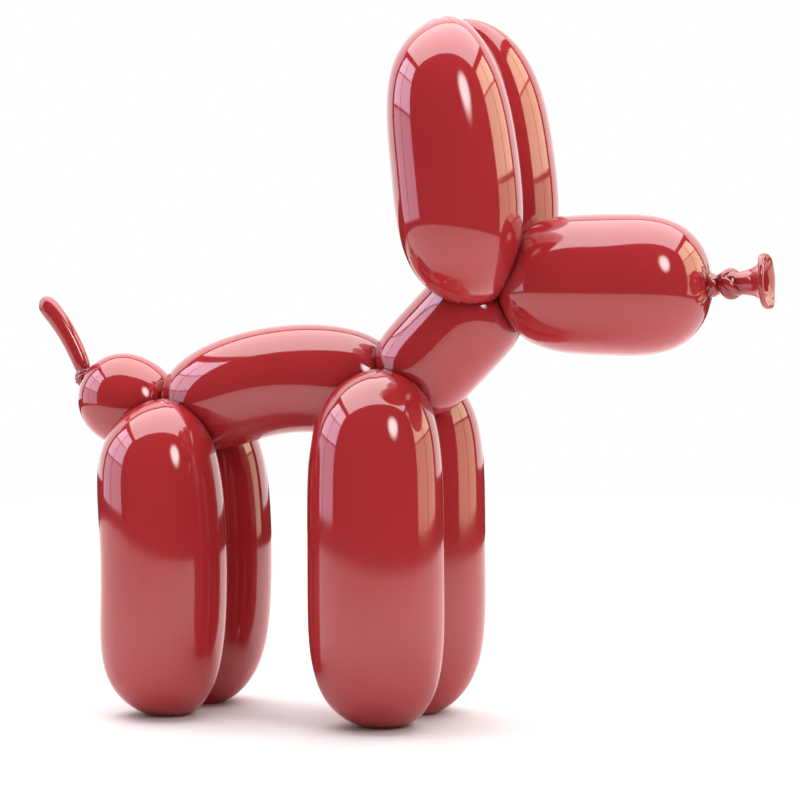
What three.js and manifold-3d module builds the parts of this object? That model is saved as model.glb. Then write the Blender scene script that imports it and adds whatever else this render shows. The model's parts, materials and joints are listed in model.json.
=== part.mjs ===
// Balloon poodle: a tabletop ornament cast in one piece, in the shape of a poodle twisted from one long
// modelling balloon. Each bubble is a closed solid that runs from one twist to the next along a gently bowed
// centre line. Paired bubbles (forelegs, hind legs, ears) lean on each other in the middle plane, and every
// bubble hangs on the chain of twists that starts at the withers, so a changed length carries what follows it.
//
// Millimetres and degrees. +X points to the muzzle, +Y to the dog's left and +Z up. The origin is on the
// ground, under the middle of the figure's box.

import * as THREE from 'three';
import { mergeVertices } from 'three/addons/utils/BufferGeometryUtils.js';
import Module from 'manifold-3d';

const wasm = await Module();
wasm.setup();

// Forelegs: their round tops stand above the twist at the withers.
const FORE_LEG_HEIGHT = 149;
const FORE_LEG_DIAMETER = 57;
const FORE_LEG_SLANT = 1;
const FORE_LEG_TAPER = -0.02;
const WITHERS_DROP = 12;

// Hind legs: they bow a little forward between the hip and the ground.
const HIND_LEG_HEIGHT = 134;
const HIND_LEG_DIAMETER = 54;
const HIND_LEG_SLANT = 2;
const HIND_LEG_BOW = 6;
const HIP_DROP = 12;

// Body: one long bubble with an arched back, from the withers to the hip.
const BODY_LENGTH = 104;
const BODY_DIAMETER = 46;
const BODY_ARCH = 13;

// Neck: from the withers up to the twist where ears and muzzle meet.
const NECK_LENGTH = 66;
const NECK_DIAMETER = 44;
const NECK_RISE = 46;

// Muzzle: level, a little fuller towards the nose.
const MUZZLE_LENGTH = 90;
const MUZZLE_DIAMETER = 58;
const MUZZLE_RISE = 0;
const MUZZLE_TAPER = 0.03;

// Ears: two tall bubbles whose round lower ends hang below and behind the head twist.
const EAR_LENGTH = 120;
const EAR_DIAMETER = 53;
const EAR_LEAN = 7;
const EAR_TAPER = -0.05;
const EAR_BOW = 3;
const EAR_SETBACK = 7.5;
const EAR_DROP = 9.5;

// Tail: a round bubble at the hip, then the thin end of the balloon that no air has reached.
const TAIL_BALL_LENGTH = 45;
const TAIL_BALL_DIAMETER = 40;
const TAIL_BALL_RISE = 26;
const TAIL_TIP_LENGTH = 40;
const TAIL_TIP_DIAMETER = 8;
const TAIL_TIP_RISE = 58;
const TAIL_TIP_BOW = 2.5;
const TAIL_TIP_TAPER = 0.12;

// Tied end at the nose: a knot, a short stem and the flared mouth of the balloon with its rolled lip.
const NOSE_BEAD_DIAMETER = 6;
const KNOT_DIAMETER = 13;
const KNOT_LENGTH = 11;
const STEM_DIAMETER = 9;
const MOUTH_DIAMETER = 23;
const MOUTH_FLARE_LENGTH = 10.5;
const MOUTH_DEPTH = 9;
const LIP_THICKNESS = 2.4;
const MOUTH_TILT = 5;

// Twists: the gathered latex between two bubbles. Paired bubbles press into each other in the middle plane,
// and their ends are drawn in towards it by the twist that they share. The draw falls off from a bubble's
// end with this power of the station along it.
const TWIST_DIAMETER = 10;
const TWIN_PRESS = 2;
const LEG_GATHER = 8;
const EAR_GATHER = 12;
const GATHER_POWER = 6;

// Feet: each leg is ground to a flat spot where it stands.
const FOOT_FLAT_DIAMETER = 18;

// How blunt each bubble's ends are: 2 is an ellipse, and higher values have longer straight sides.
const LEG_FULLNESS = 4.6;
const TRUNK_FULLNESS = 5;
const MUZZLE_FULLNESS = 3.4;
const EAR_FULLNESS = 2.9;
const TAIL_BALL_FULLNESS = 2.2;
const TAIL_TIP_FULLNESS = 8;

// Facets.
const SPOKES = 24;
const RINGS = 15;
const SMALL_SPOKES = 12;
const SMALL_RINGS = 8;
const CURVE_STEPS = 4;

const radians = THREE.MathUtils.degToRad;

// A point in the side plane, at a length and a rise in degrees from another; 180 - rise points backwards.
function stepFrom(point, length, rise) {
  const angle = radians(rise);
  return new THREE.Vector2(point.x + length * Math.cos(angle), point.y + length * Math.sin(angle));
}

// Turns a closed geometry into a solid: shared vertices are merged and collapsed triangles left out.
function toSolid(geometry) {
  geometry.deleteAttribute('normal');
  geometry.deleteAttribute('uv');
  const merged = mergeVertices(geometry);
  const index = merged.index.array;
  const triangles = [];
  for (let i = 0; i < index.length; i += 3) {
    const [a, b, c] = [index[i], index[i + 1], index[i + 2]];
    if (a !== b && b !== c && c !== a) triangles.push(a, b, c);
  }
  return new wasm.Manifold(new wasm.Mesh({
    numProp: 3,
    vertProperties: new Float32Array(merged.attributes.position.array),
    triVerts: new Uint32Array(triangles),
  }));
}

// A bubble's own stations run from -1 at `from` to 1 at `to`. Its radius follows a superellipse.
function radiusAt({ diameter, fullness, taper = 0 }, station) {
  const swell = Math.sqrt(Math.max(0, 1 - Math.abs(station) ** fullness));
  return (diameter / 2) * swell * (1 + taper * station);
}

// The centre line in the side plane, bent by `bow`.
function centreAt({ from, to, bow = 0 }, station) {
  const chord = to.clone().sub(from);
  const across = new THREE.Vector2(-chord.y, chord.x).normalize();
  const along = (1 + station) / 2;
  return from.clone().addScaledVector(chord, along).addScaledVector(across, bow * (1 - station * station));
}

function directionAt({ from, to, bow = 0 }, station) {
  const chord = to.clone().sub(from);
  const across = new THREE.Vector2(-chord.y, chord.x).normalize();
  return chord.addScaledVector(across, -4 * bow * station).normalize();
}

// How far the centre line is from the middle plane: `side` along the bubble, less `gather` at its ends.
function offsetAt({ side = 0, gather = 0 }, station) {
  return Math.sign(side) * (Math.abs(side) - gather * station ** GATHER_POWER);
}

function bubble(shape) {
  const geometry = new THREE.SphereGeometry(1, shape.spokes ?? SPOKES, shape.rings ?? RINGS);
  const position = geometry.attributes.position;
  for (let i = 0; i < position.count; i += 1) {
    const station = -position.getY(i);
    const spoke = Math.atan2(position.getZ(i), position.getX(i));
    const radius = radiusAt(shape, station);
    const centre = centreAt(shape, station);
    const direction = directionAt(shape, station);
    const lift = Math.cos(spoke) * radius;
    const spread = -Math.sin(spoke) * radius;
    position.setXYZ(
      i,
      centre.x - direction.y * lift,
      offsetAt(shape, station) + spread,
      centre.y + direction.x * lift,
    );
  }
  return toSolid(geometry);
}

// How far each of two pressed bubbles stands from the middle plane.
function twinSide(shape) {
  return shape.diameter / 2 - TWIN_PRESS;
}

// Two like bubbles side by side, pressed together in the middle plane.
function twins(shape) {
  const side = twinSide(shape);
  return [bubble({ ...shape, side }), bubble({ ...shape, side: -side })];
}

// Where two pressed bubbles part, near the end that `sign` names: their shared twist sits in that cleft.
function cleft(shape, sign) {
  const twin = { ...shape, side: twinSide(shape) };
  const searchStep = 0.002;
  let station = sign;
  while (radiusAt(twin, station) < offsetAt(twin, station)) station -= sign * searchStep;
  return centreAt(twin, station);
}

// The gathered latex at a twist.
function twist(point) {
  const geometry = new THREE.SphereGeometry(TWIST_DIAMETER / 2, SMALL_SPOKES, SMALL_RINGS);
  geometry.translate(point.x, 0, point.y);
  return toSolid(geometry);
}

// How far a leg's round end has to reach below the ground to leave a flat spot of the wanted width there.
function footSink(height, diameter) {
  const share = Math.min(1, FOOT_FLAT_DIAMETER / diameter);
  return (height / 2) * (1 - (1 - share * share) ** (1 / LEG_FULLNESS));
}

// The chain of twists.
const withers = new THREE.Vector2(0, FORE_LEG_HEIGHT - WITHERS_DROP);
const hipHeight = HIND_LEG_HEIGHT - HIP_DROP;
const hip = new THREE.Vector2(-Math.sqrt(BODY_LENGTH ** 2 - (withers.y - hipHeight) ** 2), hipHeight);
const head = stepFrom(withers, NECK_LENGTH, NECK_RISE);
const nose = stepFrom(head, MUZZLE_LENGTH, MUZZLE_RISE);
const tailTwist = stepFrom(hip, TAIL_BALL_LENGTH, 180 - TAIL_BALL_RISE);
const tailEnd = stepFrom(tailTwist, TAIL_TIP_LENGTH, 180 - TAIL_TIP_RISE);
const earRoot = new THREE.Vector2(head.x - EAR_SETBACK, head.y - EAR_DROP);

const foreleg = {
  from: new THREE.Vector2(withers.x + FORE_LEG_SLANT, -footSink(FORE_LEG_HEIGHT, FORE_LEG_DIAMETER)),
  to: new THREE.Vector2(withers.x, FORE_LEG_HEIGHT),
  diameter: FORE_LEG_DIAMETER,
  gather: LEG_GATHER,
  fullness: LEG_FULLNESS,
  taper: FORE_LEG_TAPER,
};
const hindLeg = {
  from: new THREE.Vector2(hip.x + HIND_LEG_SLANT, -footSink(HIND_LEG_HEIGHT, HIND_LEG_DIAMETER)),
  to: new THREE.Vector2(hip.x, HIND_LEG_HEIGHT),
  diameter: HIND_LEG_DIAMETER,
  gather: LEG_GATHER,
  bow: -HIND_LEG_BOW,
  fullness: LEG_FULLNESS,
};
const ear = {
  from: earRoot,
  to: stepFrom(earRoot, EAR_LENGTH, 90 + EAR_LEAN),
  diameter: EAR_DIAMETER,
  gather: EAR_GATHER,
  bow: -EAR_BOW,
  taper: EAR_TAPER,
  fullness: EAR_FULLNESS,
};
const body = { from: hip, to: withers, diameter: BODY_DIAMETER, bow: BODY_ARCH, fullness: TRUNK_FULLNESS };
const neck = { from: withers, to: head, diameter: NECK_DIAMETER, fullness: TRUNK_FULLNESS };
const muzzle = {
  from: head,
  to: nose,
  diameter: MUZZLE_DIAMETER,
  fullness: MUZZLE_FULLNESS,
  taper: MUZZLE_TAPER,
};
const tailBall = { from: hip, to: tailTwist, diameter: TAIL_BALL_DIAMETER, fullness: TAIL_BALL_FULLNESS };
const tailTip = {
  from: tailTwist,
  to: tailEnd,
  diameter: TAIL_TIP_DIAMETER,
  bow: -TAIL_TIP_BOW,
  fullness: TAIL_TIP_FULLNESS,
  taper: TAIL_TIP_TAPER,
  spokes: SMALL_SPOKES,
  rings: SMALL_RINGS,
};

// The tied end, turned about its own axis: knot, stem, flared mouth, rolled lip and the hollow behind it.
function tiedEnd() {
  const root = -TWIST_DIAMETER / 2;
  const beadRadius = NOSE_BEAD_DIAMETER / 2;
  const knotCentre = beadRadius + KNOT_LENGTH / 2;
  const stemRadius = STEM_DIAMETER / 2;
  const lipRadius = LIP_THICKNESS / 2;
  const lipCentre = MOUTH_DIAMETER / 2 - lipRadius;
  const lipHeight = knotCentre + KNOT_LENGTH / 2 + MOUTH_FLARE_LENGTH - lipRadius;
  const beadMeetsKnot = Math.acos(Math.min(1, NOSE_BEAD_DIAMETER / KNOT_DIAMETER));
  const knotMeetsStem = Math.acos(Math.min(1, STEM_DIAMETER / KNOT_DIAMETER));
  const profile = new THREE.Path();
  profile.moveTo(0, root);
  profile.lineTo(beadRadius, root);
  profile.absellipse(0, knotCentre, KNOT_DIAMETER / 2, KNOT_LENGTH / 2, -beadMeetsKnot, knotMeetsStem, false);
  profile.quadraticCurveTo(stemRadius, lipHeight - lipRadius, lipCentre, lipHeight - lipRadius);
  profile.absarc(lipCentre, lipHeight, lipRadius, -Math.PI / 2, Math.PI / 2, false);
  profile.quadraticCurveTo(stemRadius, lipHeight, 0, lipHeight - MOUTH_DEPTH);
  const geometry = new THREE.LatheGeometry(profile.getPoints(CURVE_STEPS), SPOKES);
  geometry.rotateZ(-Math.PI / 2);
  geometry.rotateY(-radians(MUZZLE_RISE + MOUTH_TILT));
  geometry.translate(nose.x, 0, nose.y);
  return toSolid(geometry);
}

// Everything below the ground is cut away, which leaves the four flat spots.
function ground() {
  const size = 2000;
  const geometry = new THREE.BoxGeometry(size, size, size);
  geometry.translate(0, 0, -size / 2);
  return toSolid(geometry);
}

const paired = [foreleg, hindLeg, ear];
const single = [body, neck, muzzle, tailBall, tailTip];
const clefts = [cleft(foreleg, -1), cleft(hindLeg, -1), cleft(ear, 1)];
const twists = [withers, hip, head, nose, tailTwist, ...clefts];
const solids = [...paired.flatMap(twins), ...single.map(bubble), ...twists.map(twist), tiedEnd()];
const figure = wasm.Manifold.union(solids).subtract(ground());

const faces = figure.getMesh();
const geometry = new THREE.BufferGeometry();
geometry.setAttribute('position', new THREE.BufferAttribute(faces.vertProperties, faces.numProp));
geometry.setIndex(new THREE.BufferAttribute(faces.triVerts, 1));
geometry.computeBoundingBox();
const { min, max } = geometry.boundingBox;
geometry.translate(-(min.x + max.x) / 2, 0, 0);
geometry.computeVertexNormals();

const lacquer = new THREE.MeshStandardMaterial({ color: 0xa81f27, roughness: 0.08, metalness: 0 });
const poodle = new THREE.Mesh(geometry, lacquer);
poodle.name = 'balloon_poodle';

const model = new THREE.Group();
model.add(poodle);

export default model;
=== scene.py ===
# A tabletop ornament in the shape of a standing poodle twisted from one long balloon: one casting in glossy
# red lacquer. Metres, +X to the muzzle, +Y to the dog's left and +Z up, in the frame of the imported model.

import json
import math

import bmesh
import bpy
from mathutils import Matrix, Vector, kdtree, noise

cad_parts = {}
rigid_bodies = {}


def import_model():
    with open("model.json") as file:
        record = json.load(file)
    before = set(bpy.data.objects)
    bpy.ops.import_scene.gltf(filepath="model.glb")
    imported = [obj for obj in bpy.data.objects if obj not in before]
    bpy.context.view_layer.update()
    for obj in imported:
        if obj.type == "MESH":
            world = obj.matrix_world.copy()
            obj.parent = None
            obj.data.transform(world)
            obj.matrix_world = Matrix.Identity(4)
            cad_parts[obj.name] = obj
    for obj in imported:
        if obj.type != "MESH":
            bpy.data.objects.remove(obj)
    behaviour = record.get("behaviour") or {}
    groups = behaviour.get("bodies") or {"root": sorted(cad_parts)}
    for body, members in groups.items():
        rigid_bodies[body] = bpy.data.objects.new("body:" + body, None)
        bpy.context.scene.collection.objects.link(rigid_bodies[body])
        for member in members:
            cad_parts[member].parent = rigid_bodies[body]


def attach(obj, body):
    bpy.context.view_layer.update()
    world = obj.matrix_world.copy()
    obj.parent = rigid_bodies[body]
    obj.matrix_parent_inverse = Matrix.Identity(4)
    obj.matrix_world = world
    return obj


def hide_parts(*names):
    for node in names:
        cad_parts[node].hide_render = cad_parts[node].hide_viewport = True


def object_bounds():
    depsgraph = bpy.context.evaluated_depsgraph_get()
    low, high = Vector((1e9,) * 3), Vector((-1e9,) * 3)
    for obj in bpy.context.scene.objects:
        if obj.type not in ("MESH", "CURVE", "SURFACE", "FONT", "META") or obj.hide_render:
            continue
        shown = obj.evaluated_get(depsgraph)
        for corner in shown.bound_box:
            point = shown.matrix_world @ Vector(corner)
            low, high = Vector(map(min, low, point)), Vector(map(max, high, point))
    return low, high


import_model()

cad_low, cad_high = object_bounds()

# Forelegs: two long bubbles pressed together side by side, cast hollow in one with the rest of the figure.
# Their round tops stand above the twist at the withers, and their undersides are ground flat to stand on.
MM = 0.001
FORE_LEG_HEIGHT = 149 * MM
FORE_LEG_DIAMETER = 57 * MM
FORE_LEG_SLANT = 1 * MM
FORE_LEG_TAPER = -0.02
WITHERS_DROP = 12 * MM
LEG_FULLNESS = 4.6
LEG_GATHER = 8 * MM
GATHER_POWER = 6
TWIN_PRESS = 2 * MM
FOOT_FLAT_DIAMETER = 18 * MM
PLEAT_REACH = 17 * MM
PLEAT_DEPTH = 0.9 * MM
PLEATS = 11
PLEAT_DRIFT = 0.7
PLEAT_VARIETY = 7
SPOKES = 112
RINGS = 72
BUBBLES = bpy.data.collections.new("bubbles")


def step_from(point, length, rise):
    """A point in the side plane, at a length and a rise in degrees. 180 - rise points backwards."""
    angle = math.radians(rise)
    return point + Vector((length * math.cos(angle), 0, length * math.sin(angle)))


def across(chord):
    """The upright direction in the side plane, square to a chord."""
    return Vector((-chord.z, 0, chord.x)).normalized()


def skin_radius(bubble, station):
    """A bubble's stations run from -1 at its start to 1 at its end. Its radius follows a superellipse."""
    swell = math.sqrt(max(0.0, 1 - abs(station) ** bubble["fullness"]))
    return bubble["diameter"] / 2 * swell * (1 + bubble.get("taper", 0) * station)


def centre_at(bubble, station):
    chord = bubble["end"] - bubble["start"]
    bend = bubble.get("bow", 0) * (1 - station * station)
    return bubble["start"] + chord * (1 + station) / 2 + across(chord) * bend


def heading_at(bubble, station):
    chord = bubble["end"] - bubble["start"]
    return (chord - across(chord) * 4 * bubble.get("bow", 0) * station).normalized()


def offset_at(bubble, station):
    """How far the centre line stands from the middle plane: twins are drawn together at their ends."""
    side = bubble.get("side", 0)
    return math.copysign(abs(side) - bubble.get("gather", 0) * station ** GATHER_POWER, side) if side else 0


def pleat_depth(bubble, radius, station, spoke):
    """The gathers that a twist draws into the skin round it: sharp valleys that fade out over the dome."""
    length = (bubble["end"] - bubble["start"]).length
    reach = math.hypot(radius, (1 - abs(station)) * length / 2) / PLEAT_REACH
    if reach >= 1:
        return 0
    own_place = PLEAT_VARIETY * bubble["end"].z / MM
    drift = PLEAT_DRIFT * noise.noise(Vector((math.cos(spoke), math.sin(spoke), own_place)))
    ridge = abs(math.sin(PLEATS / 2 * (spoke + drift)))
    return PLEAT_DEPTH * (1 - reach) ** 2 * (1 - ridge)


def keep_skin(bm, name):
    """Stores the smooth skin's normals and makes the shell an object in the collection of bubbles."""
    bm.normal_update()
    skin_normal = bm.loops.layers.float_vector.new("skin_normal")
    shell_number = bm.faces.layers.int.new("shell")
    for face in bm.faces:
        face[shell_number] = len(BUBBLES.objects)
        for loop in face.loops:
            loop[skin_normal] = loop.vert.normal
    if any(vert.co.z < 0 for vert in bm.verts):
        everything = bm.verts[:] + bm.edges[:] + bm.faces[:]
        bmesh.ops.bisect_plane(bm, geom=everything, plane_co=(0, 0, 0), plane_no=(0, 0, 1), clear_inner=True)
        rims = [edge for edge in bm.edges if edge.is_boundary]
        for flat in bmesh.ops.contextual_create(bm, geom=rims)["faces"]:
            flat.normal_update()
            if flat.normal.z > 0:
                flat.normal_flip()
            flat[shell_number] = len(BUBBLES.objects)
            for loop in flat.loops:
                loop[skin_normal] = (0, 0, -1)
    mesh = bpy.data.meshes.new(name)
    bm.to_mesh(mesh)
    bm.free()
    BUBBLES.objects.link(bpy.data.objects.new(name, mesh))


def blow(name, bubble, spokes=SPOKES, rings=RINGS):
    """Blows a sphere up into one bubble along its centre line."""
    bm = bmesh.new()
    bmesh.ops.create_uvsphere(bm, u_segments=spokes, v_segments=rings, radius=1)
    for vert in bm.verts:
        station = max(-1.0, min(1.0, vert.co.z))
        spoke = math.atan2(vert.co.y, vert.co.x)
        radius = skin_radius(bubble, station)
        heading = heading_at(bubble, station)
        inward = -math.copysign(pleat_depth(bubble, radius, station, spoke), station)
        vert.co = (
            centre_at(bubble, station)
            + across(heading) * math.cos(spoke) * radius
            + Vector((0, offset_at(bubble, station) - math.sin(spoke) * radius, 0))
            + heading * inward
        )
    bmesh.ops.recalc_face_normals(bm, faces=bm.faces)
    keep_skin(bm, name)


def blow_twins(name, bubble):
    side = bubble["diameter"] / 2 - TWIN_PRESS
    blow(name + "_left", {**bubble, "side": side})
    blow(name + "_right", {**bubble, "side": -side})


def foot_sink(height, diameter):
    """How far a leg's round end reaches below the ground, so that grinding leaves the wanted flat."""
    share = min(1, FOOT_FLAT_DIAMETER / diameter)
    return height / 2 * (1 - (1 - share * share) ** (1 / LEG_FULLNESS))


withers = Vector((0, 0, FORE_LEG_HEIGHT - WITHERS_DROP))
foreleg = {
    "start": Vector((withers.x + FORE_LEG_SLANT, 0, -foot_sink(FORE_LEG_HEIGHT, FORE_LEG_DIAMETER))),
    "end": Vector((withers.x, 0, FORE_LEG_HEIGHT)),
    "diameter": FORE_LEG_DIAMETER,
    "fullness": LEG_FULLNESS,
    "gather": LEG_GATHER,
    "taper": FORE_LEG_TAPER,
}
blow_twins("foreleg", foreleg)

# Body: the longest single bubble, cast hollow with an arched back between the withers and the hip. It runs
# into the twists at both ends without a joint.
BODY_LENGTH = 104 * MM
BODY_DIAMETER = 46 * MM
BODY_ARCH = 13 * MM
TRUNK_FULLNESS = 5
HIND_LEG_HEIGHT = 134 * MM
HIP_DROP = 12 * MM

hip_height = HIND_LEG_HEIGHT - HIP_DROP
hip = Vector((-math.sqrt(BODY_LENGTH**2 - (withers.z - hip_height) ** 2), 0, hip_height))
blow("body", {
    "start": hip,
    "end": withers,
    "diameter": BODY_DIAMETER,
    "fullness": TRUNK_FULLNESS,
    "bow": BODY_ARCH,
})

# Hind legs: a pressed pair like the forelegs, shorter, and bowed a little forward between hip and ground.
# They are cast in one with the hip, and their undersides are ground flat as well.
HIND_LEG_DIAMETER = 54 * MM
HIND_LEG_SLANT = 2 * MM
HIND_LEG_BOW = 6 * MM

hind_leg = {
    "start": Vector((hip.x + HIND_LEG_SLANT, 0, -foot_sink(HIND_LEG_HEIGHT, HIND_LEG_DIAMETER))),
    "end": Vector((hip.x, 0, HIND_LEG_HEIGHT)),
    "diameter": HIND_LEG_DIAMETER,
    "fullness": LEG_FULLNESS,
    "gather": LEG_GATHER,
    "bow": -HIND_LEG_BOW,
}
blow_twins("hind_leg", hind_leg)

# Neck: a short bubble that leans forward from the withers to the twist where ears and muzzle meet. It is cast
# in one with both, and the forelegs' round tops and the ears' lower ends press into it.
NECK_LENGTH = 66 * MM
NECK_DIAMETER = 44 * MM
NECK_RISE = 46

head = step_from(withers, NECK_LENGTH, NECK_RISE)
blow("neck", {
    "start": withers,
    "end": head,
    "diameter": NECK_DIAMETER,
    "fullness": TRUNK_FULLNESS,
})

# Muzzle: a level bubble, a little fuller towards the nose. It is cast on to the head twist, and its far end
# gathers round the bead that carries the knot.
MUZZLE_LENGTH = 90 * MM
MUZZLE_DIAMETER = 58 * MM
MUZZLE_RISE = 0
MUZZLE_TAPER = 0.03
MUZZLE_FULLNESS = 3.4

nose = step_from(head, MUZZLE_LENGTH, MUZZLE_RISE)
blow("muzzle", {
    "start": head,
    "end": nose,
    "diameter": MUZZLE_DIAMETER,
    "fullness": MUZZLE_FULLNESS,
    "taper": MUZZLE_TAPER,
})

# Ears: two tall bubbles pressed together, whose round lower ends hang below and behind the head twist. Like
# the legs they are cast as a pair, and they part at the top in a small cleft.
EAR_LENGTH = 120 * MM
EAR_DIAMETER = 53 * MM
EAR_LEAN = 7
EAR_TAPER = -0.05
EAR_BOW = 3 * MM
EAR_SETBACK = 7.5 * MM
EAR_DROP = 9.5 * MM
EAR_FULLNESS = 2.9
EAR_GATHER = 12 * MM

ear_root = head - Vector((EAR_SETBACK, 0, EAR_DROP))
ear = {
    "start": ear_root,
    "end": step_from(ear_root, EAR_LENGTH, 90 + EAR_LEAN),
    "diameter": EAR_DIAMETER,
    "fullness": EAR_FULLNESS,
    "gather": EAR_GATHER,
    "taper": EAR_TAPER,
    "bow": -EAR_BOW,
}
blow_twins("ear", ear)

# Tail: a round bubble behind the hip, and the thin end of the balloon that no air has reached. The thin end
# keeps a few slack wrinkles near its root.
TAIL_BALL_LENGTH = 45 * MM
TAIL_BALL_DIAMETER = 40 * MM
TAIL_BALL_RISE = 26
TAIL_BALL_FULLNESS = 2.2
TAIL_TIP_LENGTH = 40 * MM
TAIL_TIP_DIAMETER = 8 * MM
TAIL_TIP_RISE = 58
TAIL_TIP_BOW = 2.5 * MM
TAIL_TIP_TAPER = 0.12
TAIL_TIP_FULLNESS = 8
TAIL_TIP_SPOKES = 48
TAIL_TIP_RINGS = 56

tail_twist = step_from(hip, TAIL_BALL_LENGTH, 180 - TAIL_BALL_RISE)
blow("tail_ball", {
    "start": hip,
    "end": tail_twist,
    "diameter": TAIL_BALL_DIAMETER,
    "fullness": TAIL_BALL_FULLNESS,
})
blow("tail_tip", {
    "start": tail_twist,
    "end": step_from(tail_twist, TAIL_TIP_LENGTH, 180 - TAIL_TIP_RISE),
    "diameter": TAIL_TIP_DIAMETER,
    "fullness": TAIL_TIP_FULLNESS,
    "bow": -TAIL_TIP_BOW,
    "taper": TAIL_TIP_TAPER,
}, TAIL_TIP_SPOKES, TAIL_TIP_RINGS)

# Twists: the skin between two bubbles, wrung to a small fluted bead. Twins share one more at their far ends,
# in the cleft where they part.
TWIST_DIAMETER = 10 * MM
FLUTES = 9
FLUTE_DEPTH = 0.12
FLUTE_SWIRL = 1.6
TWIST_SPOKES = 72
TWIST_RINGS = 24
SEARCH_STEP = 0.002


def wring(name, point, axis):
    """A bead with spiral flutes, wrung about an axis."""
    bm = bmesh.new()
    bmesh.ops.create_uvsphere(bm, u_segments=TWIST_SPOKES, v_segments=TWIST_RINGS, radius=1)
    for vert in bm.verts:
        swirl = math.atan2(vert.co.y, vert.co.x) + FLUTE_SWIRL * vert.co.z
        groove = 1 - FLUTE_DEPTH * (1 - abs(math.sin(FLUTES / 2 * swirl)))
        vert.co = Vector((vert.co.x * groove, vert.co.y * groove, vert.co.z)) * TWIST_DIAMETER / 2
    turn = axis.to_track_quat("Z", "Y").to_matrix().to_4x4()
    bmesh.ops.transform(bm, matrix=Matrix.Translation(point) @ turn, verts=bm.verts)
    keep_skin(bm, name)


def cleft(bubble, end):
    """The place near one end where two pressed twins part."""
    twin = {**bubble, "side": bubble["diameter"] / 2 - TWIN_PRESS}
    station = end
    while skin_radius(twin, station) < offset_at(twin, station):
        station -= end * SEARCH_STEP
    return centre_at(twin, station)


sideways = Vector((0, 1, 0))
wring("twist_withers", withers, sideways)
wring("twist_hip", hip, sideways)
wring("twist_head", head, sideways)
wring("twist_nose", nose, nose - head)
wring("twist_tail", tail_twist, tail_twist - hip)
wring("twist_forefeet", cleft(foreleg, -1), sideways)
wring("twist_hind_feet", cleft(hind_leg, -1), sideways)
wring("twist_ear_tops", cleft(ear, 1), sideways)

# Tied end: the balloon's knot at the nose, its short stem and the flared mouth with a rolled lip. The knot is
# a ball with two strands wound round it, and the slack mouth falls into lengthwise folds.
NOSE_BEAD_DIAMETER = 6 * MM
KNOT_DIAMETER = 13 * MM
KNOT_LENGTH = 11 * MM
KNOT_STRAND = 4.4 * MM
KNOT_TILTS = (30, -48)
KNOT_CORE = 0.86
STEM_DIAMETER = 9 * MM
MOUTH_DIAMETER = 23 * MM
MOUTH_FLARE_LENGTH = 10.5 * MM
MOUTH_DEPTH = 9 * MM
LIP_THICKNESS = 2.4 * MM
MOUTH_TILT = 5
MOUTH_FOLDS = 5
MOUTH_FOLD_DEPTH = 0.5 * MM
MOUTH_FOLD_DRIFT = 2
LIP_WAVE = 0.35 * MM
LIP_WAVES, LIP_RIPPLES = 3, 5
LIP_WAVE_TURN = 0.6
LIP_RIPPLE_SHARE = 0.5
MERGE_DISTANCE = 0.01 * MM
PROFILE_STEPS = 14
MOUTH_SPOKES = 96
STRAND_SPOKES = 24

stem_radius = STEM_DIAMETER / 2
lip_radius = LIP_THICKNESS / 2
lip_centre = MOUTH_DIAMETER / 2 - lip_radius
knot_centre = NOSE_BEAD_DIAMETER / 2 + KNOT_LENGTH / 2
lip_height = knot_centre + KNOT_LENGTH / 2 + MOUTH_FLARE_LENGTH - lip_radius
tied_end_turn = Matrix.Rotation(math.radians(90 - MUZZLE_RISE - MOUTH_TILT), 4, "Y")
tied_end_place = Matrix.Translation(nose) @ tied_end_turn


def bend_through(start, corner, end):
    """Points on a curve that leaves start towards corner and reaches end from it, without the last one."""
    shares = [step / PROFILE_STEPS for step in range(PROFILE_STEPS)]
    return [start * (1 - s) ** 2 + corner * 2 * s * (1 - s) + end * s**2 for s in shares]


def blow_mouth():
    """The stem and mouth, spun about the local Z axis from half a section."""
    knot_inside = Vector((stem_radius, 0, knot_centre))
    lip_back = Vector((lip_centre, 0, lip_height - lip_radius))
    lip_front = Vector((lip_centre, 0, lip_height + lip_radius))
    hollow = Vector((0, 0, lip_height - MOUTH_DEPTH))
    section = [Vector((0, 0, knot_centre))]
    section += bend_through(knot_inside, Vector((stem_radius, 0, lip_height - lip_radius)), lip_back)
    for step in range(PROFILE_STEPS):
        angle = math.pi * (step / PROFILE_STEPS - 0.5)
        outward, forward = lip_radius * math.cos(angle), lip_radius * math.sin(angle)
        section.append(Vector((lip_centre + outward, 0, lip_height + forward)))
    section += bend_through(lip_front, Vector((stem_radius, 0, lip_height)), hollow)
    section.append(hollow)
    bm = bmesh.new()
    points = [bm.verts.new(point) for point in section]
    lines = [bm.edges.new(pair) for pair in zip(points, points[1:])]
    bmesh.ops.spin(
        bm, geom=points + lines, cent=(0, 0, 0), axis=(0, 0, 1),
        angle=math.tau, steps=MOUTH_SPOKES, use_merge=True,
    )
    bmesh.ops.remove_doubles(bm, verts=bm.verts, dist=MERGE_DISTANCE)
    bmesh.ops.recalc_face_normals(bm, faces=bm.faces)
    for vert in bm.verts:
        radius = math.hypot(vert.co.x, vert.co.y)
        spoke = math.atan2(vert.co.y, vert.co.x)
        open_share = min(1, radius / lip_centre)
        fold = math.sin(MOUTH_FOLDS * spoke + MOUTH_FOLD_DRIFT * math.sin(2 * spoke))
        slack = fold * math.sin(math.pi * open_share)
        wave = math.sin(LIP_WAVES * spoke + LIP_WAVE_TURN) + LIP_RIPPLE_SHARE * math.sin(LIP_RIPPLES * spoke)
        vert.co.z += MOUTH_FOLD_DEPTH * slack + LIP_WAVE * wave * open_share**3
    bmesh.ops.transform(bm, matrix=tied_end_place, verts=bm.verts)
    keep_skin(bm, "mouth")


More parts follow.
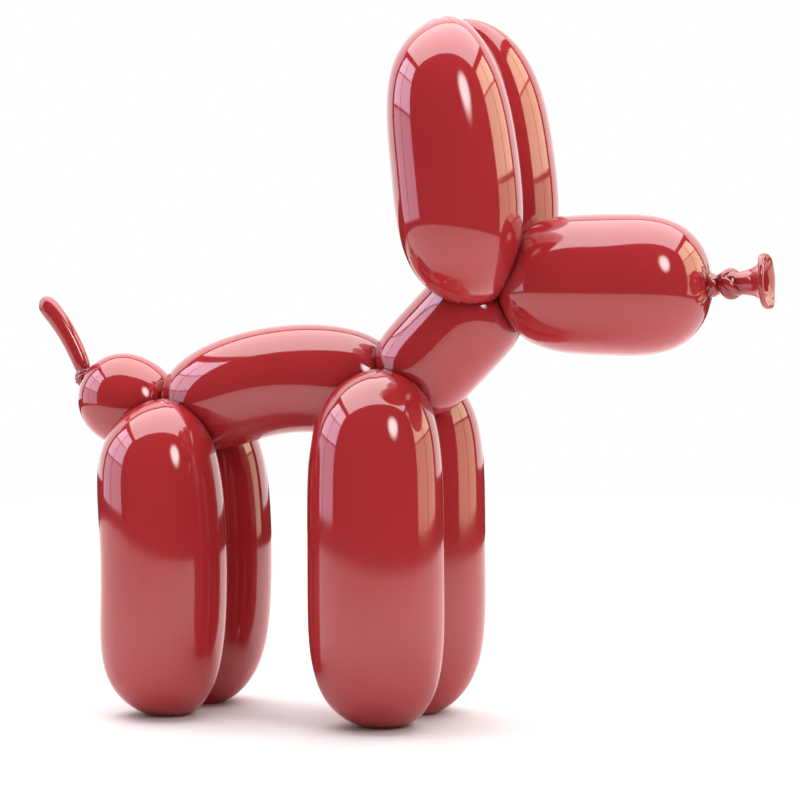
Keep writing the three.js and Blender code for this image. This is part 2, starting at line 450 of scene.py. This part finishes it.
def tie_knot():
    """The knot's core, and the strands wound round it."""
    bm = bmesh.new()
    bmesh.ops.create_uvsphere(bm, u_segments=TWIST_SPOKES, v_segments=TWIST_RINGS, radius=KNOT_CORE)
    bmesh.ops.scale(bm, vec=(KNOT_DIAMETER / 2, KNOT_DIAMETER / 2, KNOT_LENGTH / 2), verts=bm.verts)
    bmesh.ops.translate(bm, vec=(0, 0, knot_centre), verts=bm.verts)
    bmesh.ops.transform(bm, matrix=tied_end_place, verts=bm.verts)
    keep_skin(bm, "knot_core")
    for number, tilt in enumerate(KNOT_TILTS):
        bm = bmesh.new()
        bmesh.ops.create_circle(bm, segments=STRAND_SPOKES, radius=KNOT_STRAND / 2)
        bmesh.ops.rotate(bm, matrix=Matrix.Rotation(math.radians(90), 3, "X"), verts=bm.verts)
        bmesh.ops.translate(bm, vec=((KNOT_DIAMETER - KNOT_STRAND) / 2, 0, 0), verts=bm.verts)
        bmesh.ops.spin(
            bm, geom=bm.verts[:] + bm.edges[:], cent=(0, 0, 0), axis=(0, 0, 1),
            angle=math.tau, steps=TWIST_SPOKES, use_merge=True,
        )
        bmesh.ops.recalc_face_normals(bm, faces=bm.faces)
        lean = Matrix.Rotation(math.radians(tilt), 4, "XY"[number])
        lift = Matrix.Translation((0, 0, knot_centre))
        bmesh.ops.transform(bm, matrix=tied_end_place @ lift @ lean, verts=bm.verts)
        keep_skin(bm, f"knot_strand_{number}")


blow_mouth()
tie_knot()

# The casting: all bubbles, twists and the tied end in one skin, so it is a single closed piece. It is centred
# on the box of the imported model. Each crease keeps its sharp line, and the skin beside it its own curve.
# How far the painted crease shade reaches. The lacquer's colour is painted darker within about this distance
# of each crease.
CREASE_SHADE_WIDTH = 1.4 * MM

shells = list(BUBBLES.objects)
bpy.context.scene.collection.children.link(BUBBLES)
casting = shells[0]
bpy.context.scene.collection.objects.link(casting)
BUBBLES.objects.unlink(casting)
fusing = casting.modifiers.new("one skin", "BOOLEAN")
fusing.operation = "UNION"
fusing.operand_type = "COLLECTION"
fusing.collection = BUBBLES
fusing.solver = "MANIFOLD"
fused = bpy.data.meshes.new_from_object(casting.evaluated_get(bpy.context.evaluated_depsgraph_get()))
poodle = bpy.data.objects.new("lacquered_poodle", fused)
bpy.context.scene.collection.objects.link(poodle)
for shell in shells:
    bpy.data.objects.remove(shell)
bpy.data.collections.remove(BUBBLES)

middle = (cad_low.x + cad_high.x) / 2
spread = [vert.co.x for vert in fused.vertices]
fused.transform(Matrix.Translation((middle - (min(spread) + max(spread)) / 2, 0, 0)))

bm = bmesh.new()
bm.from_mesh(fused)
shell_number = bm.faces.layers.int["shell"]
creases = set()
for edge in bm.edges:
    edge.smooth = len({face[shell_number] for face in edge.link_faces}) == 1
    if not edge.smooth:
        creases.update(edge.verts)
nearest = kdtree.KDTree(len(creases))
for number, vert in enumerate(creases):
    nearest.insert(vert.co, number)
nearest.balance()
# A mask of painted shade. It is 1 on each crease and fades out over the width above, and it darkens the
# lacquer's colour there.
painted_crease_shade = bm.verts.layers.float.new("painted_crease_shade")
for vert in bm.verts:
    vert[painted_crease_shade] = math.exp(-nearest.find(vert.co)[2] / CREASE_SHADE_WIDTH)
for face in bm.faces:
    face.smooth = True
bm.to_mesh(fused)
bm.free()
skin = fused.attributes["skin_normal"].data
fused.normals_split_custom_set([Vector(corner.vector).normalized() for corner in skin])
for spare in ("skin_normal", "shell"):
    fused.attributes.remove(fused.attributes[spare])

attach(poodle, "root")
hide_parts("balloon_poodle")

# Red lacquer: a deep red, high-gloss spray lacquer over the casting, rubbed to a mirror with a trace of
# orange peel. Its colour is painted darker in the creases between two bubbles, as painted shade, and is
# a little darker in random clouds.
LACQUER_RED = (0.4, 0.026, 0.03, 1)
# The darker red. It is mixed in as painted shade along the creases, and also in random clouds.
SHADE_AND_CLOUD_RED = (0.18, 0.006, 0.009, 1)
LACQUER_IOR = 1.78
LACQUER_ROUGHNESS = (0.05, 0.085)
PEEL_SCALE = 420
PEEL_DETAIL = 2
PEEL_DEPTH = 0.004 * MM
# How strongly the painted crease shade darkens the red.
CREASE_SHADE_SHARE = 0.85
CLOUD_SCALE = 14
CLOUD_DETAIL = 3
CLOUD_EDGES = (0.3, 0.7)
CLOUD_SHARE = 0.14

lacquer = bpy.data.materials.new("red_lacquer")
lacquer.use_nodes = True
nodes, links = lacquer.node_tree.nodes, lacquer.node_tree.links
surface = nodes["Principled BSDF"]
surface.inputs["IOR"].default_value = LACQUER_IOR
place = nodes.new("ShaderNodeTexCoord")
clouds = nodes.new("ShaderNodeTexNoise")
clouds.inputs["Scale"].default_value = CLOUD_SCALE
clouds.inputs["Detail"].default_value = CLOUD_DETAIL
peel = nodes.new("ShaderNodeTexNoise")
peel.inputs["Scale"].default_value = PEEL_SCALE
peel.inputs["Detail"].default_value = PEEL_DETAIL
for texture in (clouds, peel):
    links.new(place.outputs["Object"], texture.inputs["Vector"])
# Painted shade: the crease mask, with random clouds added, mixes the darker red into the base colour.
crease_shade_mask = nodes.new("ShaderNodeAttribute")
crease_shade_mask.attribute_name = "painted_crease_shade"
shade_and_clouds = nodes.new("ShaderNodeMath")
shade_and_clouds.operation = "MULTIPLY_ADD"
shade_and_clouds.inputs[1].default_value = CREASE_SHADE_SHARE
links.new(crease_shade_mask.outputs["Fac"], shade_and_clouds.inputs[0])
thickness = nodes.new("ShaderNodeMapRange")
thickness.inputs["From Min"].default_value, thickness.inputs["From Max"].default_value = CLOUD_EDGES
thickness.inputs["To Max"].default_value = CLOUD_SHARE
links.new(clouds.outputs["Fac"], thickness.inputs["Value"])
links.new(thickness.outputs["Result"], shade_and_clouds.inputs[2])
colour = nodes.new("ShaderNodeMix")
colour.data_type = "RGBA"
tints = [socket for socket in colour.inputs if socket.type == "RGBA"]
tints[0].default_value = LACQUER_RED
tints[1].default_value = SHADE_AND_CLOUD_RED
links.new(shade_and_clouds.outputs["Value"], colour.inputs["Factor"])
mixed_tint = next(socket for socket in colour.outputs if socket.type == "RGBA")
links.new(mixed_tint, surface.inputs["Base Color"])
sheen = nodes.new("ShaderNodeMapRange")
sheen.inputs["To Min"].default_value, sheen.inputs["To Max"].default_value = LACQUER_ROUGHNESS
links.new(clouds.outputs["Fac"], sheen.inputs["Value"])
links.new(sheen.outputs["Result"], surface.inputs["Roughness"])
bump = nodes.new("ShaderNodeBump")
bump.inputs["Distance"].default_value = PEEL_DEPTH
links.new(peel.outputs["Fac"], bump.inputs["Height"])
links.new(bump.outputs["Normal"], surface.inputs["Normal"])
fused.materials.clear()
fused.materials.append(lacquer)

# Camera: a long lens from the dog's right, turned towards its head, a little above its back. The room is
# turned with it, so that the panels round the figure stand square to the view.
CAMERA_AZIMUTH = 20
CAMERA_ELEVATION = 3.55
CAMERA_DISTANCE = 1.5
CAMERA_AIM = Vector((0.0035, 0, 0.135))
CAMERA_LENS = 160.7

room = Matrix.Rotation(math.radians(CAMERA_AZIMUTH), 4, "Z")
towards_camera = room @ Matrix.Rotation(math.radians(-CAMERA_ELEVATION), 4, "X") @ Vector((0, -1, 0))
camera = bpy.data.objects.new("camera", bpy.data.cameras.new("camera"))
camera.data.lens = CAMERA_LENS
camera.location = CAMERA_AIM + towards_camera * CAMERA_DISTANCE
camera.rotation_mode = "QUATERNION"
camera.rotation_quaternion = (-towards_camera).to_track_quat("-Z", "Y")
bpy.context.scene.collection.objects.link(camera)
bpy.context.scene.camera = camera
bpy.context.scene.view_settings.view_transform = "Standard"

# Floor: a plain pale sheet that fades into the white of the studio round it. What the lacquer mirrors is a
# second, smaller and round sheet just above it, which ends before the walls as a table top does.
FLOOR_WIDTH = 12
FLOOR_WHITE = (0.86, 0.85, 0.845, 1)
TABLE_WHITE = (0.8, 0.66, 0.65, 1)
TABLE_WIDTH = 1.6
SHEET_SPOKES = 96
TABLE_LIFT = 0.2 * MM
FADE_START, FADE_END = 0.45, 1.1
FLOOR_ROUGHNESS = 0.7


def lay_disc(name, width, spokes, place):
    """A flat round sheet that belongs to the stage."""
    bm = bmesh.new()
    bmesh.ops.create_circle(bm, cap_ends=True, segments=spokes, radius=width / 2)
    mesh = bpy.data.meshes.new(name)
    bm.to_mesh(mesh)
    bm.free()
    sheet = bpy.data.objects.new(name, mesh)
    sheet.matrix_world = place
    bpy.context.scene.collection.objects.link(sheet)
    return sheet


floor = lay_disc("floor", FLOOR_WIDTH, SHEET_SPOKES, Matrix.Identity(4))
floor.visible_glossy = False
pale = bpy.data.materials.new("pale_floor")
pale.use_nodes = True
nodes, links = pale.node_tree.nodes, pale.node_tree.links
matt = nodes["Principled BSDF"]
matt.inputs["Base Color"].default_value = FLOOR_WHITE
matt.inputs["Roughness"].default_value = FLOOR_ROUGHNESS
place = nodes.new("ShaderNodeTexCoord")
distance = nodes.new("ShaderNodeVectorMath")
distance.operation = "LENGTH"
fade = nodes.new("ShaderNodeMapRange")
fade.interpolation_type = "SMOOTHSTEP"
fade.inputs["From Min"].default_value = FADE_START
fade.inputs["From Max"].default_value = FADE_END
white = nodes.new("ShaderNodeEmission")
mixed = nodes.new("ShaderNodeMixShader")
links.new(place.outputs["Object"], distance.inputs[0])
links.new(distance.outputs["Value"], fade.inputs["Value"])
links.new(fade.outputs["Result"], mixed.inputs["Fac"])
links.new(matt.outputs["BSDF"], mixed.inputs[1])
links.new(white.outputs["Emission"], mixed.inputs[2])
links.new(mixed.outputs["Shader"], nodes["Material Output"].inputs["Surface"])
floor.data.materials.append(pale)

table = lay_disc("table_in_mirror", TABLE_WIDTH, SHEET_SPOKES, Matrix.Translation((0, 0, TABLE_LIFT)))
table.visible_camera = table.visible_diffuse = table.visible_shadow = False
table_white = bpy.data.materials.new("table_white")
table_white.use_nodes = True
table_matt = table_white.node_tree.nodes["Principled BSDF"]
table_matt.inputs["Base Color"].default_value = TABLE_WHITE
table_matt.inputs["Roughness"].default_value = 1
table.data.materials.append(table_white)

# Studio: a tent of soft panels. A broad one hangs overhead, a cool window stands to the left and a warm one
# to the right, each of six panes, dimmer towards the floor, and a tall lamp shines from the front right.
TENT_HALF = 1.0
TENT_MIDDLE = Vector((0, 0, 0.15))
CEILING_WIDTH, CEILING_LENGTH, CEILING_BACK = 1.86, 1.18, 0.25
CEILING_GLOW = (3.8, 3.61, 3.686)
WINDOW_FRONT, WINDOW_BACK, WINDOW_FOOT, WINDOW_TOP = -0.28, 0.55, 0.005, 1.06
WINDOW_BAR = 0.02
PANE_SHARES = (0.4, 0.75, 1)
WINDOW_GLOWS = {-1: (4.6, 4.1, 5.2), 1: (5.0, 4.3, 2.9)}
BACKDROP_WIDTH, BACKDROP_HEIGHT, BACKDROP_BACK = 4.6, 1.9, 1.7
BACKDROP_GLOW = (1.6, 1.6, 1.6)
LAMP_AZIMUTH, LAMP_ELEVATION, LAMP_DISTANCE, LAMP_DIAMETER = 35, 34, 1.3, 0.5
LAMP_GLOW = 9
LAMP_CORE = 0.35
LAMP_STRETCH = 1.5
SKY_ON_MATT, SKY_IN_MIRROR = 0.4, 0.025


def hang_light(name, place, aim, width, height, glow):
    """A soft panel, placed and aimed in the room's own directions. Its glow is what the lacquer mirrors."""
    light = bpy.data.lights.new(name, "AREA")
    light.shape = "RECTANGLE"
    light.size, light.size_y = width, height
    brightest = max(glow)
    light.color = [channel / brightest for channel in glow]
    light.energy = brightest * math.pi * width * height
    lamp = bpy.data.objects.new(name, light)
    lamp.location = room @ place
    lamp.rotation_mode = "QUATERNION"
    lamp.rotation_quaternion = (room.to_3x3() @ (aim - place)).to_track_quat("-Z", "Y")
    bpy.context.scene.collection.objects.link(lamp)
    return lamp


ceiling_place = Vector((0, CEILING_BACK, TENT_MIDDLE.z + TENT_HALF))
straight_down = ceiling_place - Vector((0, 0, 1))
ceiling = hang_light("ceiling", ceiling_place, straight_down, CEILING_WIDTH, CEILING_LENGTH, CEILING_GLOW)
ceiling.rotation_quaternion = room.to_quaternion()
pane_width = (WINDOW_BACK - WINDOW_FRONT - WINDOW_BAR) / 2
pane_height = (WINDOW_TOP - WINDOW_FOOT + WINDOW_BAR) / len(PANE_SHARES) - WINDOW_BAR
for side, glow in WINDOW_GLOWS.items():
    for column in (0, 1):
        for row, share in enumerate(PANE_SHARES):
            pane = Vector((
                side * TENT_HALF,
                WINDOW_FRONT + pane_width / 2 + column * (pane_width + WINDOW_BAR),
                WINDOW_FOOT + pane_height / 2 + row * (pane_height + WINDOW_BAR),
            ))
            name = f"window_{side}_{column}_{row}"
            pane_glow = [channel * share for channel in glow]
            window = hang_light(name, pane, pane - Vector((side, 0, 0)), pane_width, pane_height, pane_glow)
            window.visible_diffuse = False
backdrop = Vector((0, BACKDROP_BACK, BACKDROP_HEIGHT / 2))
forwards = backdrop - Vector((0, 1, 0))
hang_light("backdrop", backdrop, forwards, BACKDROP_WIDTH, BACKDROP_HEIGHT, BACKDROP_GLOW)
swing = Matrix.Rotation(math.radians(LAMP_AZIMUTH), 3, "Z")
lower = Matrix.Rotation(math.radians(-LAMP_ELEVATION), 3, "X")
lamp_place = TENT_MIDDLE + swing @ lower @ Vector((0, -LAMP_DISTANCE, 0))
lamp_facing = (TENT_MIDDLE - lamp_place).to_track_quat("Z", "Y").to_matrix().to_4x4()
lamp_facing = lamp_facing @ Matrix.Diagonal((1, LAMP_STRETCH, 1, 1))
lamp = lay_disc("lamp", LAMP_DIAMETER, SHEET_SPOKES, room @ Matrix.Translation(lamp_place) @ lamp_facing)
lamp.visible_camera = lamp.visible_shadow = False
diffuser = bpy.data.materials.new("lamp_diffuser")
diffuser.use_nodes = True
nodes, links = diffuser.node_tree.nodes, diffuser.node_tree.links
place = nodes.new("ShaderNodeTexCoord")
distance = nodes.new("ShaderNodeVectorMath")
distance.operation = "LENGTH"
falloff = nodes.new("ShaderNodeMapRange")
falloff.interpolation_type = "SMOOTHSTEP"
falloff.inputs["From Min"].default_value = LAMP_CORE * LAMP_DIAMETER / 2
falloff.inputs["From Max"].default_value = LAMP_DIAMETER / 2
falloff.inputs["To Min"].default_value = LAMP_GLOW
falloff.inputs["To Max"].default_value = 0
shine = nodes.new("ShaderNodeEmission")
links.new(place.outputs["Object"], distance.inputs[0])
links.new(distance.outputs["Value"], falloff.inputs["Value"])
links.new(falloff.outputs["Result"], shine.inputs["Strength"])
links.new(shine.outputs["Emission"], nodes["Material Output"].inputs["Surface"])
lamp.data.materials.append(diffuser)

world = bpy.data.worlds.new("studio")
world.use_nodes = True
bpy.context.scene.world = world
nodes, links = world.node_tree.nodes, world.node_tree.links
sky = nodes["Background"]
sky.inputs["Color"].default_value = (1, 1, 1, 1)
ray = nodes.new("ShaderNodeLightPath")
ambient = nodes.new("ShaderNodeMath")
ambient.operation = "MULTIPLY_ADD"
ambient.inputs[1].default_value = SKY_ON_MATT
ambient.inputs[2].default_value = SKY_IN_MIRROR
brighter = nodes.new("ShaderNodeMath")
brighter.operation = "MAXIMUM"
links.new(ray.outputs["Is Diffuse Ray"], ambient.inputs[0])
links.new(ambient.outputs["Value"], brighter.inputs[0])
links.new(ray.outputs["Is Camera Ray"], brighter.inputs[1])
links.new(brighter.outputs["Value"], sky.inputs["Strength"])
